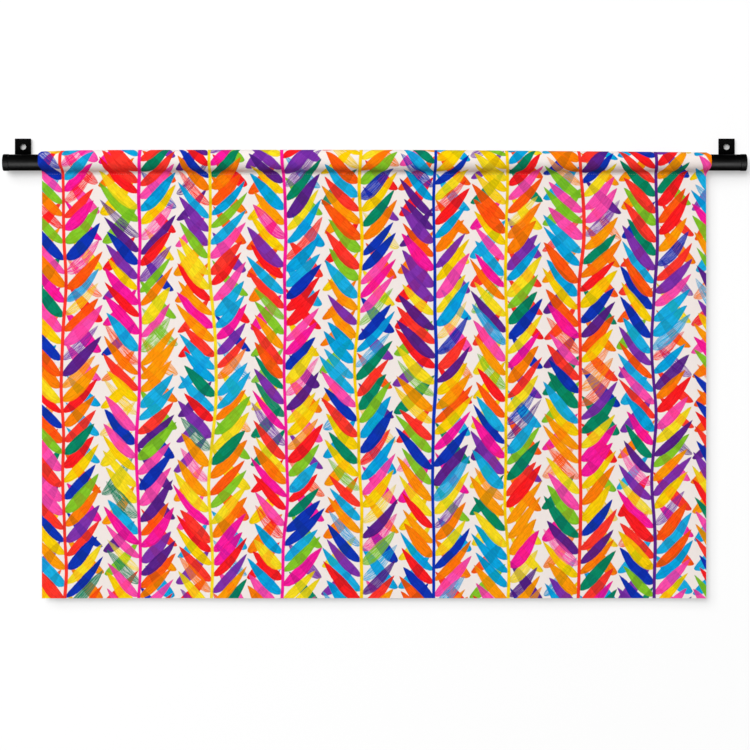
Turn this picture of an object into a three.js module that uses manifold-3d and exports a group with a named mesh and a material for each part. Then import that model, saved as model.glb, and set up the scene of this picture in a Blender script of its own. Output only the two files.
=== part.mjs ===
// A printed cloth hung by the sleeve along its top on a round rod, with end caps and two wall hangers.
// Millimetres: +X runs along the rod, +Y points into the wall and +Z points up.
// The origin lies on the wall, midway between the two hanging holes.
import * as THREE from 'three';
import { mergeVertices } from 'three/addons/utils/BufferGeometryUtils.js';
import Module from 'manifold-3d';

// Rod and its end caps
const LENGTH_OVER_CAPS = 1007.4;
const ROD_DIAMETER = 22;
const ROD_WALL = 1.5;
const CAP_DIAMETER = 22.8;
const CAP_LENGTH = 8;
const CAP_CORNER = 1.2;
const PLUG_LENGTH = 14;
const PLUG_CHAMFER = 1;
const SEAT_GAP = 0.3;
const ROUND_STEPS = 48;
const CORNER_STEPS = 3;

// Wall hangers
const ROD_FROM_WALL = 16;
const HOLE_SPACING = 958.3;
const HANGER_WIDTH = 22.1;
const PLATE_THICKNESS = 2;
const PLATE_CORNER = 0.8;
const PLATE_ABOVE_HOLE = 11;
const PLATE_BELOW_ROD = 6;
const HOLE_DIAMETER = 8.5;
const HOLE_ABOVE_ROD = 23;
const HOLE_STEPS = 12;
const SADDLE_LENGTH = 18;
const SADDLE_TOP_ABOVE_ROD = 13;
const SADDLE_UPPER_ANGLE = THREE.MathUtils.degToRad(60);
const SADDLE_LOWER_ANGLE = THREE.MathUtils.degToRad(45);
const SADDLE_ROOT = 0.6;
const SADDLE_STEPS = 8;

// Cloth
const CLOTH_WIDTH = 900;
const CLOTH_MIDDLE = -1;
const CLOTH_THICKNESS = 1.6;
const HEM_BELOW_ROD = 590.5;
const SLEEVE_EASE = 0.4;
const NECK_RADIUS = 6;
const NECK_ANGLE = THREE.MathUtils.degToRad(-70);
const FOLD_FADE = 120;
const END_REACH = 70;
const STATIONS = 28;
const SLEEVE_STEPS = 24;
const NECK_STEPS = 4;
const PANEL_STEPS = 9;
const PANEL_CROWDING = 1.5;

// The sleeve is uneven: a section for each place where its shape changes, from the left edge to the right.
// across is a share of the width; over and before are its slack above the rod and in front of it.
const SLEEVE_SECTIONS = [
  { across: 0.00, over: 1.9, before: 0.8 },
  { across: 0.06, over: 3.7, before: 1.0 },
  { across: 0.25, over: 4.2, before: 1.2 },
  { across: 0.45, over: 4.2, before: 1.2 },
  { across: 0.61, over: 3.8, before: 1.3 },
  { across: 0.70, over: 3.1, before: 1.5 },
  { across: 0.79, over: 2.4, before: 1.7 },
  { across: 0.90, over: 1.6, before: 2.0 },
  { across: 1.00, over: 0.6, before: 2.4 },
];

// The sleeve's ends stand out past the panel's side edges, by out at most and fading END_REACH inwards.
// The heights above the rod's axis say where this starts, is full, turns in again at the top and is gone.
const SLEEVE_ENDS = [
  { across: 0, out: -3.7, starts: -11, full: -3, turns: 10, gone: 16 },
  { across: 1, out: 5.5, starts: -18, full: -4, turns: 8, gone: 14 },
];

// Soft folds of the panel, nearly flat: a row for each ridge, or trough where its depth is below zero.
// top and hem are the places of its middle as shares of the width, and spread is its half width.
const PANEL_FOLDS = [
  { top: 0.03, hem: 0.01, spread: 0.09, depth: 1.6 },
  { top: 0.17, hem: 0.19, spread: 0.13, depth: -1.3 },
  { top: 0.36, hem: 0.33, spread: 0.12, depth: 1.1 },
  { top: 0.55, hem: 0.57, spread: 0.15, depth: -1.0 },
  { top: 0.74, hem: 0.72, spread: 0.11, depth: 1.3 },
  { top: 0.88, hem: 0.90, spread: 0.10, depth: -1.5 },
  { top: 0.98, hem: 1.00, spread: 0.07, depth: 1.8 },
];

const rodRadius = ROD_DIAMETER / 2;
const rodHalfLength = LENGTH_OVER_CAPS / 2 - CAP_LENGTH - SEAT_GAP;
const leftEdge = CLOTH_MIDDLE - CLOTH_WIDTH / 2;

const rodBlack = new THREE.MeshStandardMaterial({ color: 0x121113, roughness: 0.45, metalness: 0.4 });
const capBlack = new THREE.MeshStandardMaterial({ color: 0x0e0d0e, roughness: 0.55, metalness: 0 });
const hangerBlack = new THREE.MeshStandardMaterial({ color: 0x0a090a, roughness: 0.5, metalness: 0.4 });
const printedCloth = new THREE.MeshStandardMaterial({ color: 0xebe6e1, roughness: 0.9, metalness: 0 });

const part = new THREE.Group();
const rodFrame = new THREE.Group();
rodFrame.position.set(0, -ROD_FROM_WALL, -HOLE_ABOVE_ROD);
part.add(rodFrame);

function addMesh(parent, name, geometry, material) {
  const mesh = new THREE.Mesh(geometry, material);
  mesh.name = name;
  parent.add(mesh);
  return mesh;
}

// Rod: a tube turned about the rod's axis
function rodGeometry() {
  const bore = rodRadius - ROD_WALL;
  const ring = [
    new THREE.Vector2(bore, -rodHalfLength),
    new THREE.Vector2(rodRadius, -rodHalfLength),
    new THREE.Vector2(rodRadius, rodHalfLength),
    new THREE.Vector2(bore, rodHalfLength),
    new THREE.Vector2(bore, -rodHalfLength),
  ];
  return new THREE.LatheGeometry(ring, ROUND_STEPS).rotateZ(-Math.PI / 2);
}

// End cap: a rounded head with a plug that goes into the tube
function capGeometry() {
  const headRadius = CAP_DIAMETER / 2;
  const plugRadius = rodRadius - ROD_WALL - SEAT_GAP;
  const outline = new THREE.Path();
  outline.moveTo(0, -PLUG_LENGTH);
  outline.lineTo(plugRadius - PLUG_CHAMFER, -PLUG_LENGTH);
  outline.lineTo(plugRadius, PLUG_CHAMFER - PLUG_LENGTH);
  outline.lineTo(plugRadius, 0);
  outline.lineTo(headRadius, 0);
  outline.lineTo(headRadius, CAP_LENGTH - CAP_CORNER);
  outline.absarc(headRadius - CAP_CORNER, CAP_LENGTH - CAP_CORNER, CAP_CORNER, 0, Math.PI / 2);
  outline.lineTo(0, CAP_LENGTH);
  return new THREE.LatheGeometry(outline.getPoints(CORNER_STEPS), ROUND_STEPS);
}

// Hanger: a plate on the wall with a hanging hole, joined to a saddle that seats the back of the rod
function plateGeometry() {
  const side = HANGER_WIDTH / 2;
  const top = HOLE_ABOVE_ROD + PLATE_ABOVE_HOLE;
  const outline = new THREE.Shape();
  outline.moveTo(-side, -PLATE_BELOW_ROD);
  outline.lineTo(side, -PLATE_BELOW_ROD);
  outline.lineTo(side, top - PLATE_CORNER);
  outline.absarc(side - PLATE_CORNER, top - PLATE_CORNER, PLATE_CORNER, 0, Math.PI / 2);
  outline.lineTo(PLATE_CORNER - side, top);
  outline.absarc(PLATE_CORNER - side, top - PLATE_CORNER, PLATE_CORNER, Math.PI / 2, Math.PI);
  outline.holes.push(new THREE.Path().absarc(0, HOLE_ABOVE_ROD, HOLE_DIAMETER / 2, 0, 2 * Math.PI, true));
  const plate = new THREE.ExtrudeGeometry(outline, {
    depth: PLATE_THICKNESS,
    bevelEnabled: false,
    curveSegments: HOLE_STEPS,
  });
  return plate.rotateX(Math.PI / 2).translate(0, ROD_FROM_WALL, 0);
}

function saddleGeometry() {
  const seat = rodRadius + SEAT_GAP;
  const root = SADDLE_ROOT - PLATE_THICKNESS + ROD_FROM_WALL;
  const outline = new THREE.Shape();
  outline.moveTo(root, SADDLE_TOP_ABOVE_ROD);
  outline.lineTo(root, -PLATE_BELOW_ROD);
  outline.lineTo(seat * Math.cos(SADDLE_LOWER_ANGLE), -seat * Math.sin(SADDLE_LOWER_ANGLE));
  outline.absarc(0, 0, seat, -SADDLE_LOWER_ANGLE, SADDLE_UPPER_ANGLE);
  const saddle = new THREE.ExtrudeGeometry(outline, {
    depth: SADDLE_LENGTH,
    bevelEnabled: false,
    curveSegments: SADDLE_STEPS,
  });
  const alongRod = new THREE.Matrix4().makeBasis(
    new THREE.Vector3(0, 1, 0),
    new THREE.Vector3(0, 0, 1),
    new THREE.Vector3(1, 0, 0),
  );
  return saddle.applyMatrix4(alongRod).translate(-SADDLE_LENGTH / 2, 0, 0);
}

const wasm = await Module();
wasm.setup();

function toSolid(geometry) {
  const bare = geometry.clone();
  bare.deleteAttribute('normal');
  bare.deleteAttribute('uv');
  const merged = mergeVertices(bare);
  const mesh = new wasm.Mesh({
    numProp: 3,
    vertProperties: new Float32Array(merged.attributes.position.array),
    triVerts: new Uint32Array(merged.index.array),
  });
  return new wasm.Manifold(mesh);
}

function toGeometry(solid) {
  const mesh = solid.getMesh();
  const geometry = new THREE.BufferGeometry();
  geometry.setAttribute('position', new THREE.BufferAttribute(mesh.vertProperties, mesh.numProp));
  geometry.setIndex(new THREE.BufferAttribute(mesh.triVerts, 1));
  geometry.computeVertexNormals();
  return geometry;
}

function hangerGeometry() {
  return toGeometry(toSolid(plateGeometry()).add(toSolid(saddleGeometry())));
}

// Cloth: one section of sleeve and panel, carried from the left edge to the right one
const sectionTable = new THREE.CubicInterpolant(
  SLEEVE_SECTIONS.map((row) => row.across),
  SLEEVE_SECTIONS.flatMap((row) => [row.over, row.before]),
  2,
);

function sectionAt(across) {
  const [over, before] = sectionTable.evaluate(across);
  return { across, over, before };
}

// A smooth swelling: one where the angle is zero, nothing from a quarter turn away
function lobe(angle) {
  return Math.max(0, Math.cos(angle)) ** 2;
}

// Angles about the rod start at its front and rise over its top
function sleeveRadius(section, angle) {
  const close = rodRadius + SLEEVE_EASE + CLOTH_THICKNESS;
  return close + section.over * lobe(angle - Math.PI / 2) + section.before * lobe(angle);
}

function foldDepth(across, belowNeck) {
  const down = belowNeck / HEM_BELOW_ROD;
  const grown = THREE.MathUtils.smoothstep(belowNeck, 0, FOLD_FADE);
  let depth = 0;
  for (const fold of PANEL_FOLDS) {
    const middle = THREE.MathUtils.lerp(fold.top, fold.hem, down);
    depth += fold.depth * Math.exp(-(((across - middle) / fold.spread) ** 2));
  }
  return depth * grown;
}

function endShift(across, up) {
  const { smoothstep } = THREE.MathUtils;
  let shift = 0;
  for (const end of SLEEVE_ENDS) {
    const inwards = Math.abs(across - end.across) * CLOTH_WIDTH;
    const grown = smoothstep(up, end.starts, end.full) - smoothstep(up, end.turns, end.gone);
    shift += end.out * grown * (1 - smoothstep(inwards, 0, END_REACH));
  }
  return shift;
}

// The soft turn where a layer of the sleeve leaves the rod for the panel: its centre, and its end angle
function neckTurn(section, side) {
  const angle = side > 0 ? NECK_ANGLE : Math.PI - NECK_ANGLE;
  const forward = CLOTH_THICKNESS / 2 + NECK_RADIUS;
  const reach = sleeveRadius(section, angle) + NECK_RADIUS;
  const up = -Math.sqrt(reach ** 2 - forward ** 2);
  return { forward: side * forward, up, slope: Math.atan2(-up, forward) };
}

function pointOn(turn, side, radius, angle) {
  return {
    forward: turn.forward - side * radius * Math.cos(angle),
    up: turn.up + radius * Math.sin(angle),
  };
}

function panelLayer(section, turn, side) {
  const layer = [];
  for (let step = 1; step <= PANEL_STEPS; step += 1) {
    const belowNeck = (step / PANEL_STEPS) ** PANEL_CROWDING * (HEM_BELOW_ROD + turn.up);
    const forward = side * CLOTH_THICKNESS / 2 + foldDepth(section.across, belowNeck);
    layer.push({ forward, up: turn.up - belowNeck });
  }
  return layer;
}

function neckLayer(turn, side, radius, from) {
  const layer = [];
  for (let step = 0; step < NECK_STEPS; step += 1) {
    const angle = THREE.MathUtils.lerp(from, turn.slope, step / NECK_STEPS);
    layer.push(pointOn(turn, side, radius, angle));
  }
  return layer;
}

function sleeveLayer(section, front, back, inset) {
  const layer = [];
  for (let step = 0; step <= SLEEVE_STEPS; step += 1) {
    const angle = THREE.MathUtils.lerp(-front.slope, Math.PI + back.slope, step / SLEEVE_STEPS);
    const radius = sleeveRadius(section, angle) - inset;
    layer.push({ forward: radius * Math.cos(angle), up: radius * Math.sin(angle) });
  }
  return layer;
}

function outerLoop(section) {
  const front = neckTurn(section, 1);
  const back = neckTurn(section, -1);
  return [
    ...panelLayer(section, front, 1).reverse(),
    ...neckLayer(front, 1, NECK_RADIUS, 0),
    ...sleeveLayer(section, front, back, 0),
    ...neckLayer(back, -1, NECK_RADIUS, 0).reverse(),
    ...panelLayer(section, back, -1),
  ];
}

// The tunnel for the rod narrows to an edge where its two layers meet at the seam
function tunnelLoop(section) {
  const front = neckTurn(section, 1);
  const back = neckTurn(section, -1);
  const radius = NECK_RADIUS + CLOTH_THICKNESS;
  const meeting = Math.acos(front.forward / radius);
  return [
    ...neckLayer(front, 1, radius, meeting),
    ...sleeveLayer(section, front, back, CLOTH_THICKNESS),
    ...neckLayer(back, -1, radius, meeting).reverse().slice(0, -1),
  ];
}

// Triangles of the skin between a loop of points at one station and the same loop at the next
function skinBetween(near, far, start, count) {
  const triangles = [];
  for (let i = 0; i < count; i += 1) {
    const here = start + i;
    const next = start + (i + 1) % count;
    triangles.push(near + here, far + here, far + next);
    triangles.push(near + here, far + next, near + next);
  }
  return triangles;
}

// Triangles of the cut edge at one end, with the tunnel left open
function cutEdge(loops, first, facing) {
  const toFlat = ({ forward, up }) => new THREE.Vector2(-forward, up);
  const [outer, tunnel] = loops.map((loop) => loop.map(toFlat));
  const corners = THREE.ShapeUtils.triangulateShape(outer, [tunnel]);
  return corners.flatMap(([a, b, c]) => {
    const turned = facing > 0 ? [a, b, c] : [a, c, b];
    return turned.map((corner) => first + corner);
  });
}

function clothGeometry() {
  const positions = [];
  const triangles = [];
  const stations = [];
  for (let station = 0; station <= STATIONS; station += 1) {
    const section = sectionAt(station / STATIONS);
    const loops = [outerLoop(section), tunnelLoop(section).reverse()];
    stations.push(loops);
    for (const { forward, up } of loops.flat()) {
      const along = leftEdge + CLOTH_WIDTH * section.across + endShift(section.across, up);
      positions.push(along, -forward, up);
    }
  }
  const [outerCount, tunnelCount] = stations[0].map((loop) => loop.length);
  const loopCount = outerCount + tunnelCount;
  for (let station = 0; station < STATIONS; station += 1) {
    const near = station * loopCount;
    const far = near + loopCount;
    triangles.push(...skinBetween(near, far, 0, outerCount));
    triangles.push(...skinBetween(near, far, outerCount, tunnelCount));
  }
  triangles.push(...cutEdge(stations[0], 0, -1));
  triangles.push(...cutEdge(stations[STATIONS], STATIONS * loopCount, 1));
  const geometry = new THREE.BufferGeometry();
  geometry.setAttribute('position', new THREE.Float32BufferAttribute(positions, 3));
  geometry.setIndex(triangles);
  geometry.computeVertexNormals();
  return geometry;
}

addMesh(rodFrame, 'cloth', clothGeometry(), printedCloth);
addMesh(rodFrame, 'rod', rodGeometry(), rodBlack);
for (const [side, facing] of [['left', -1], ['right', 1]]) {
  const cap = addMesh(rodFrame, `cap_${side}`, capGeometry(), capBlack);
  cap.position.x = facing * (rodHalfLength + SEAT_GAP);
  cap.rotation.z = -facing * Math.PI / 2;
  const hanger = addMesh(rodFrame, `hanger_${side}`, hangerGeometry(), hangerBlack);
  hanger.position.x = facing * HOLE_SPACING / 2;
}

export default part;
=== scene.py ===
# %% [markdown]
# # A printed cloth on its hanging rod
#
# The object is a wall hanging: one length of printed cloth whose top is turned back and sewn into a sleeve,
# a black rod through that sleeve, a cap in each end of the rod, and two hanger plates on the wall.
# The CAD frame fixes every size. This lesson gives each piece its finished mesh and its material.

# %% Load the frame
import math
import bmesh
import bpy
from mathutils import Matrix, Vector


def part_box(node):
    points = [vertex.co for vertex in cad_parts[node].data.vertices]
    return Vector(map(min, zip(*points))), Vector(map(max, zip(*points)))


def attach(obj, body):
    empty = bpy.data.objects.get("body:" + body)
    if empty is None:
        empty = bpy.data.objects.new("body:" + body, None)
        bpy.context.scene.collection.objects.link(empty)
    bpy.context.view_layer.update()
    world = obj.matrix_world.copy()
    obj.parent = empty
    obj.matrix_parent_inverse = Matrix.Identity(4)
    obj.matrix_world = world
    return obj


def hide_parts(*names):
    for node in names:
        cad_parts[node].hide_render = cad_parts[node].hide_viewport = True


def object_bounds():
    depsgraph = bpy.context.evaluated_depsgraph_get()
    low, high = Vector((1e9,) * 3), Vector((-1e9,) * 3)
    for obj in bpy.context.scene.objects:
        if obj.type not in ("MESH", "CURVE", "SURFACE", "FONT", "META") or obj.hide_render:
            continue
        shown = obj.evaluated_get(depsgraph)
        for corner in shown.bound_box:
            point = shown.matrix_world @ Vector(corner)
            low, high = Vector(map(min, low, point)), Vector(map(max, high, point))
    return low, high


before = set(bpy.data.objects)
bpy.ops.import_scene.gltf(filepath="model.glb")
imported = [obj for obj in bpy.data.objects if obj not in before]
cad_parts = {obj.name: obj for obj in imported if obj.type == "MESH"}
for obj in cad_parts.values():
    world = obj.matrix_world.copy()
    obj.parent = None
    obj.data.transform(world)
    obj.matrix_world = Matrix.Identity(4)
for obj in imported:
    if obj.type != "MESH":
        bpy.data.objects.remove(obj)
cad_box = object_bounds()
MM = 0.001
rod_low, rod_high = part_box("rod")
rod_axis = (rod_low + rod_high) / 2
rod_radius = (rod_high.z - rod_low.z) / 2
cloth_low, cloth_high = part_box("cloth")
sleeve_width = cloth_high.x - cloth_low.x
print("rod radius", round(rod_radius / MM, 2), "mm, sleeve", round(sleeve_width / MM, 1), "mm wide")

# %% [markdown]
# ## The camera
#
# The picture looks straight at the wall, a little below the rod, with a plain lens. The lens angle follows
# from two facts: how far the camera stands from the rod, and how much of the rod's plane fits in the frame.
# The rod's ends look square in the photo, not round, so the camera stands well back.

# %% Make the camera
CAMERA_FROM_ROD = 3000 * MM
CAMERA_BELOW_ROD = 288 * MM
CAMERA_ASIDE = 0.3 * MM
FRAME_WIDTH_AT_ROD = 1016.6 * MM

camera_data = bpy.data.cameras.new("photo_camera")
camera_data.sensor_fit = "HORIZONTAL"
camera_data.angle = 2 * math.atan(FRAME_WIDTH_AT_ROD / 2 / CAMERA_FROM_ROD)
camera = bpy.data.objects.new("photo_camera", camera_data)
camera.location = rod_axis + Vector((CAMERA_ASIDE, -CAMERA_FROM_ROD, -CAMERA_BELOW_ROD))
camera.rotation_euler = (math.pi / 2, 0, 0)
bpy.context.collection.objects.link(camera)
bpy.context.scene.camera = camera
print("lens angle", round(math.degrees(camera_data.angle), 1), "degrees")

# %% [markdown]
# ## The shape of the cloth
#
# A cloth this size could be simulated, but it hangs almost flat, and its few features are known: a sleeve
# that stands proud of the rod more on the left than on the right, its ends, which stand out past the panel,
# the crease under it, and very soft folds. A section drawn as arcs, carried across the width, holds these
# better than a simulation would. The tables say how the section changes; all but the short pulls at the seam
# match the solid that stands for the cloth.

# %% Tables of the sleeve and the folds
SOLID_THICKNESS = 1.6 * MM
SLEEVE_EASE = 0.4 * MM
NECK_RADIUS = 6 * MM
NECK_ANGLE = math.radians(-70)
FOLD_FADE = 120 * MM
HEM_BELOW_ROD = rod_axis.z - cloth_low.z

# share of the width, slack over the rod in mm, slack before the rod in mm
SLEEVE_SECTIONS = [
    {"across": 0.00, "over": 1.9, "before": 0.8},
    {"across": 0.06, "over": 3.7, "before": 1.0},
    {"across": 0.25, "over": 4.2, "before": 1.2},
    {"across": 0.45, "over": 4.2, "before": 1.2},
    {"across": 0.61, "over": 3.8, "before": 1.3},
    {"across": 0.70, "over": 3.1, "before": 1.5},
    {"across": 0.79, "over": 2.4, "before": 1.7},
    {"across": 0.90, "over": 1.6, "before": 2.0},
    {"across": 1.00, "over": 0.6, "before": 2.4},
]

# how far the sleeve's ends stand out past the panel, and the heights about the rod's axis where that starts,
# is full, turns in again at the top and is gone, all in mm
SLEEVE_ENDS = [
    {"across": 0, "out": -3.7, "starts": -11, "full": -3, "turns": 10, "gone": 16},
    {"across": 1, "out": 5.5, "starts": -18, "full": -4, "turns": 8, "gone": 14},
]
END_REACH = 70 * MM
cloth_left = cloth_low.x - SLEEVE_ENDS[0]["out"] * MM
cloth_right = cloth_high.x - SLEEVE_ENDS[1]["out"] * MM
cloth_width = cloth_right - cloth_left

# middle of each fold at the top and at the hem, its half width as a share of the width, its depth in mm
PANEL_FOLDS = [
    {"top": 0.03, "hem": 0.01, "spread": 0.09, "depth": 1.6},
    {"top": 0.17, "hem": 0.19, "spread": 0.13, "depth": -1.3},
    {"top": 0.36, "hem": 0.33, "spread": 0.12, "depth": 1.1},
    {"top": 0.55, "hem": 0.57, "spread": 0.15, "depth": -1.0},
    {"top": 0.74, "hem": 0.72, "spread": 0.11, "depth": 1.3},
    {"top": 0.88, "hem": 0.90, "spread": 0.10, "depth": -1.5},
    {"top": 0.98, "hem": 1.00, "spread": 0.07, "depth": 1.8},
]

# short pulls at the seam: share of the width, lean, reach below the seam in mm, half width in mm, depth in mm
SEAM_PULLS = [
    {"across": 0.035, "lean": 0.25, "reach": 34, "width": 7, "depth": -0.5},
    {"across": 0.110, "lean": -0.10, "reach": 22, "width": 5, "depth": 0.3},
    {"across": 0.195, "lean": 0.15, "reach": 28, "width": 6, "depth": -0.4},
    {"across": 0.290, "lean": 0.05, "reach": 18, "width": 5, "depth": -0.3},
    {"across": 0.372, "lean": -0.20, "reach": 30, "width": 8, "depth": 0.4},
    {"across": 0.460, "lean": 0.00, "reach": 20, "width": 5, "depth": -0.3},
    {"across": 0.548, "lean": 0.10, "reach": 26, "width": 6, "depth": 0.3},
    {"across": 0.640, "lean": -0.15, "reach": 32, "width": 7, "depth": -0.4},
    {"across": 0.725, "lean": 0.05, "reach": 20, "width": 5, "depth": 0.3},
    {"across": 0.815, "lean": -0.10, "reach": 30, "width": 7, "depth": -0.5},
    {"across": 0.900, "lean": -0.25, "reach": 24, "width": 6, "depth": 0.4},
    {"across": 0.965, "lean": -0.30, "reach": 38, "width": 8, "depth": -0.6},
]
print("panel", round(cloth_width / MM, 1), "mm wide,", len(PANEL_FOLDS), "folds,", len(SEAM_PULLS), "pulls")

# %% [markdown]
# ## One section of the cloth
#
# These helpers read the tables. A smooth curve runs through the rows of the sleeve, each fold is a soft bell
# across the width, and the sleeve's ends slide out along the rod. The crease is a small arc that meets the
# sleeve above it and the panel below it at their own slopes, so that the cloth turns without a kink.


# %% Work out a section
def smooth_step(value, low, high):
    share = min(max((value - low) / (high - low), 0), 1)
    return share * share * (3 - 2 * share)


def slack_at(across, column):
    """Slack of the sleeve in metres at a share of the width, on a smooth curve through the table's rows."""
    rows = SLEEVE_SECTIONS
    last = len(rows) - 1
    left = max(row for row in range(last) if rows[row]["across"] <= across)

    def slope(row):
        before, after = rows[max(row - 1, 0)], rows[min(row + 1, last)]
        return (after[column] - before[column]) / (after["across"] - before["across"])

    width = rows[left + 1]["across"] - rows[left]["across"]
    t = (across - rows[left]["across"]) / width
    start, end = rows[left][column], rows[left + 1][column]
    turns = slope(left) * width * t * (1 - t) ** 2 - slope(left + 1) * width * t * t * (1 - t)
    return (start + (end - start) * t * t * (3 - 2 * t) + turns) * MM


def lobe(angle):
    """A smooth swelling: one where the angle is zero, nothing from a quarter turn away."""
    return max(0, math.cos(angle)) ** 2


def sleeve_radius(across, angle):
    """Distance of the printed face from the rod's axis; angles start at the front and rise over the top."""
    close = rod_radius + SLEEVE_EASE + SOLID_THICKNESS
    over = slack_at(across, "over") * lobe(angle - math.pi / 2)
    return close + over + slack_at(across, "before") * lobe(angle)


def end_shift(across, up):
    """How far a point of the sleeve moves along the rod, to stand out past the panel's side edge."""
    shift = 0
    for end in SLEEVE_ENDS:
        inwards = abs(across - end["across"]) * cloth_width
        grown = smooth_step(up / MM, end["starts"], end["full"])
        grown -= smooth_step(up / MM, end["turns"], end["gone"])
        shift += end["out"] * MM * grown * (1 - smooth_step(inwards, 0, END_REACH))
    return shift


def fold_depth(across, below_neck):
    down = below_neck / HEM_BELOW_ROD
    depth = 0
    for fold in PANEL_FOLDS:
        middle = fold["top"] + (fold["hem"] - fold["top"]) * down
        depth += fold["depth"] * MM * math.exp(-(((across - middle) / fold["spread"]) ** 2))
    return depth * smooth_step(below_neck, 0, FOLD_FADE)


def pull_depth(across, below_neck):
    depth = 0
    for pull in SEAM_PULLS:
        aside = (across - pull["across"]) * cloth_width - pull["lean"] * below_neck
        beside = math.exp(-((aside / (pull["width"] * MM)) ** 2))
        depth += pull["depth"] * MM * beside * math.exp(-abs(below_neck) / (pull["reach"] * MM))
    return depth


def neck_turn(across, side):
    """Centre of the soft turn from sleeve to panel, front or back, and the angle at which it meets them."""
    angle = NECK_ANGLE if side > 0 else math.pi - NECK_ANGLE
    forward = SOLID_THICKNESS / 2 + NECK_RADIUS
    reach = sleeve_radius(across, angle) + NECK_RADIUS
    up = -math.sqrt(reach**2 - forward**2)
    return forward * side, up, math.atan2(-up, forward)


neck_up = neck_turn(0.5, 1)[1]
print("the crease turns", round(-neck_up / MM, 1), "mm below the rod's axis")

# %% [markdown]
# ## The cloth as a thin sheet
#
# The sheet follows one route from the hem up the front, over the rod and down behind to the sewn edge.
# Every point of the route knows its place on the printed face and the way through the cloth to the reverse.
# Stepping along the width gives a grid, and two grids with a rim make a closed sheet with a real thickness.
# The flat place of every point goes into a UV map in metres, so that a print can wrap round the sleeve.

# %% Lay out the route of one section
SHEET_THICKNESS = 0.7 * MM
SEWN_EDGE = 6 * MM
PANEL_ROWS = 64
# above one, the panel's rows crowd towards the crease
PANEL_CROWDING = 1.6
NECK_ROWS = 7
SLEEVE_ROWS = 44
EDGE_ROWS = 4


def route(across):
    """Points (forward, up, inward forward, inward up) of the printed face from the hem to the sewn edge."""
    points = []
    front_forward, front_up, front_slope = neck_turn(across, 1)
    back_forward, back_up, back_slope = neck_turn(across, -1)
    face = SOLID_THICKNESS / 2
    for row in range(PANEL_ROWS, 0, -1):
        below = (row / PANEL_ROWS) ** PANEL_CROWDING * (HEM_BELOW_ROD + front_up)
        depth = fold_depth(across, below) + pull_depth(across, below)
        points.append((face + depth, front_up - below, -1, 0))
    seam_pull = pull_depth(across, 0)
    for row in range(NECK_ROWS):
        angle = front_slope * row / NECK_ROWS
        away, rise = -math.cos(angle), math.sin(angle)
        lift = seam_pull * (1 - row / NECK_ROWS)
        points.append((front_forward + NECK_RADIUS * away + lift, front_up + NECK_RADIUS * rise, away, rise))
    for row in range(SLEEVE_ROWS + 1):
        angle = -front_slope + (math.pi + front_slope + back_slope) * row / SLEEVE_ROWS
        radius = sleeve_radius(across, angle)
        away, rise = math.cos(angle), math.sin(angle)
        points.append((radius * away, radius * rise, -away, -rise))
    for row in range(NECK_ROWS - 1, -1, -1):
        angle = back_slope * row / NECK_ROWS
        away, rise = math.cos(angle), math.sin(angle)
        points.append((back_forward + NECK_RADIUS * away, back_up + NECK_RADIUS * rise, away, rise))
    for row in range(1, EDGE_ROWS + 1):
        below = SEWN_EDGE * row / EDGE_ROWS
        points.append((-face + fold_depth(across, below), back_up - below, 1, 0))
    return points


middle_route = route(0.5)

# %% [markdown]
# ## From sections to a mesh
#
# One section after another gives rows of points for the printed face and for the reverse behind it. Faces
# join them and a rim closes the sheet. Smooth shading suits a soft cloth, but its cut edge has to stay crisp,
# so edges that turn sharply are marked.

# %% Build the sheet
CLOTH_COLUMNS = 180
SHARP_EDGE = math.radians(40)


def in_frame(x, forward, up):
    return Vector((x, rod_axis.y - forward, rod_axis.z + up))


def new_piece(name, mesh, *materials):
    piece = bpy.data.objects.new(name, mesh)
    bpy.context.collection.objects.link(piece)
    for material in materials:
        mesh.materials.append(material)
    return piece


def smooth_with_sharp_edges(shape, angle=SHARP_EDGE):
    shape.normal_update()
    for face in shape.faces:
        face.smooth = True
    for edge in shape.edges:
        edge.smooth = edge.calc_face_angle(0) < angle


def finished_mesh(shape, name):
    """A mesh of the shape, smooth but for its sharp edges."""
    smooth_with_sharp_edges(shape)
    mesh = bpy.data.meshes.new(name)
    shape.to_mesh(mesh)
    shape.free()
    return mesh


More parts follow.
